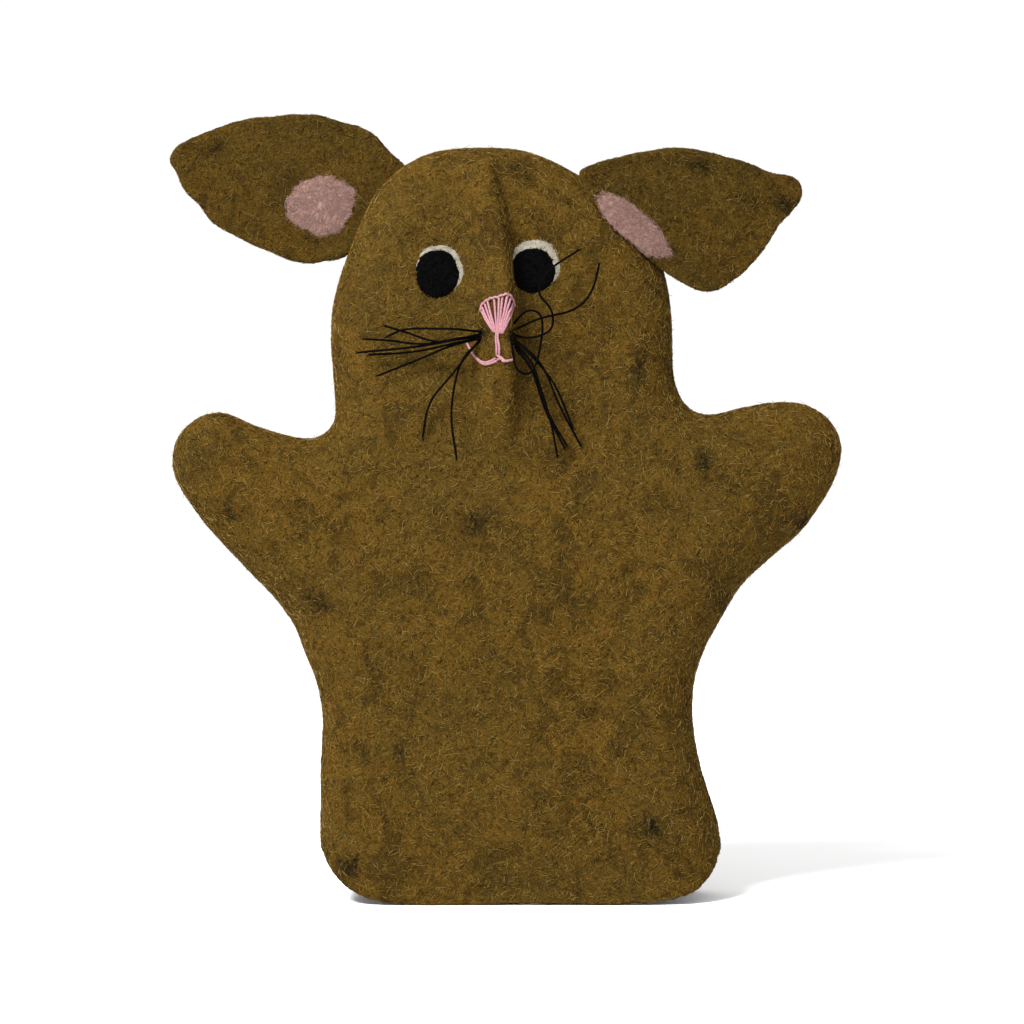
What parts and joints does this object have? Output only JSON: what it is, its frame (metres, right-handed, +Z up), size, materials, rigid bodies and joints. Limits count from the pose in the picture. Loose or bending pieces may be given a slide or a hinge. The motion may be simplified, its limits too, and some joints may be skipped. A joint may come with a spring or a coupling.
{
  "type": "hand puppet",
  "caption": "Glove puppet of a mouse in thick felted wool with a hollow body, two arms, flopped ears, felt eyes, an embroidered nose and mouth, and thread whiskers.",
  "frame": {"origin": "middle of the hand opening, in the plane of the hem", "axes": "+Z up from the hem to the head, the face looks along -Y, +X to the right of someone facing the puppet"},
  "size_m": [0.2171, 0.0562, 0.2544],
  "materials": {
    "brown_felt": "thick wet-felted ochre brown wool",
    "pink_felt": "dusty pink wool felted on",
    "white_felt": "off-white wool felt",
    "black_felt": "black wool felt",
    "pink_floss": "stranded pink embroidery floss",
    "black_thread": "waxed black thread"
  },
  "bodies": {
    "torso": {"torso_shell": "brown_felt"},
    "head": {"head_shell": "brown_felt", "left_eye_white": "white_felt", "left_pupil": "black_felt", "right_eye_white": "white_felt", "right_pupil": "black_felt", "nose_stitches": "pink_floss", "philtrum_stitch": "pink_floss", "mouth_stitch": "pink_floss", "left_whisker_1": "black_thread", "left_whisker_2": "black_thread", "left_whisker_3": "black_thread", "left_whisker_4": "black_thread", "left_whisker_5": "black_thread", "left_whisker_6": "black_thread", "left_whisker_7": "black_thread", "left_whisker_8": "black_thread", "right_whisker_1": "black_thread", "right_whisker_2": "black_thread", "right_whisker_3": "black_thread", "right_whisker_4": "black_thread", "right_whisker_5": "black_thread", "right_whisker_6": "black_thread", "right_whisker_7": "black_thread", "right_whisker_8": "black_thread"},
    "left_arm": {"left_arm_shell": "brown_felt"},
    "right_arm": {"right_arm_shell": "brown_felt"},
    "left_ear": {"left_ear": "brown_felt", "left_ear_patch": "pink_felt"},
    "right_ear": {"right_ear": "brown_felt", "right_ear_patch": "pink_felt"}
  },
  "joints": [
    {"name": "head_nod", "type": "hinge", "parent": "torso", "child": "head", "pos_m": [0, 0, 0.137], "axis": [1, 0, 0], "range_deg": [-15, 30]},
    {"name": "left_arm_swing", "type": "hinge", "parent": "torso", "child": "left_arm", "pos_m": [-0.0799, 0, 0.076], "axis": [0.0722, 0, 0.9974], "range_deg": [-15, 38]},
    {"name": "right_arm_swing", "type": "hinge", "parent": "torso", "child": "right_arm", "pos_m": [0.071, 0, 0.076], "axis": [-0.0062, 0, -1], "range_deg": [-15, 38]},
    {"name": "left_ear_flap", "type": "hinge", "parent": "head", "child": "left_ear", "pos_m": [-0.0507, 0, 0.2245], "axis": [0.5554, 0, 0.8316], "range_deg": [-35, 60]},
    {"name": "right_ear_flap", "type": "hinge", "parent": "head", "child": "right_ear", "pos_m": [0.0297, -0.0152, 0.215], "axis": [0.6981, 0, -0.716], "range_deg": [0, 60]}
  ]
}
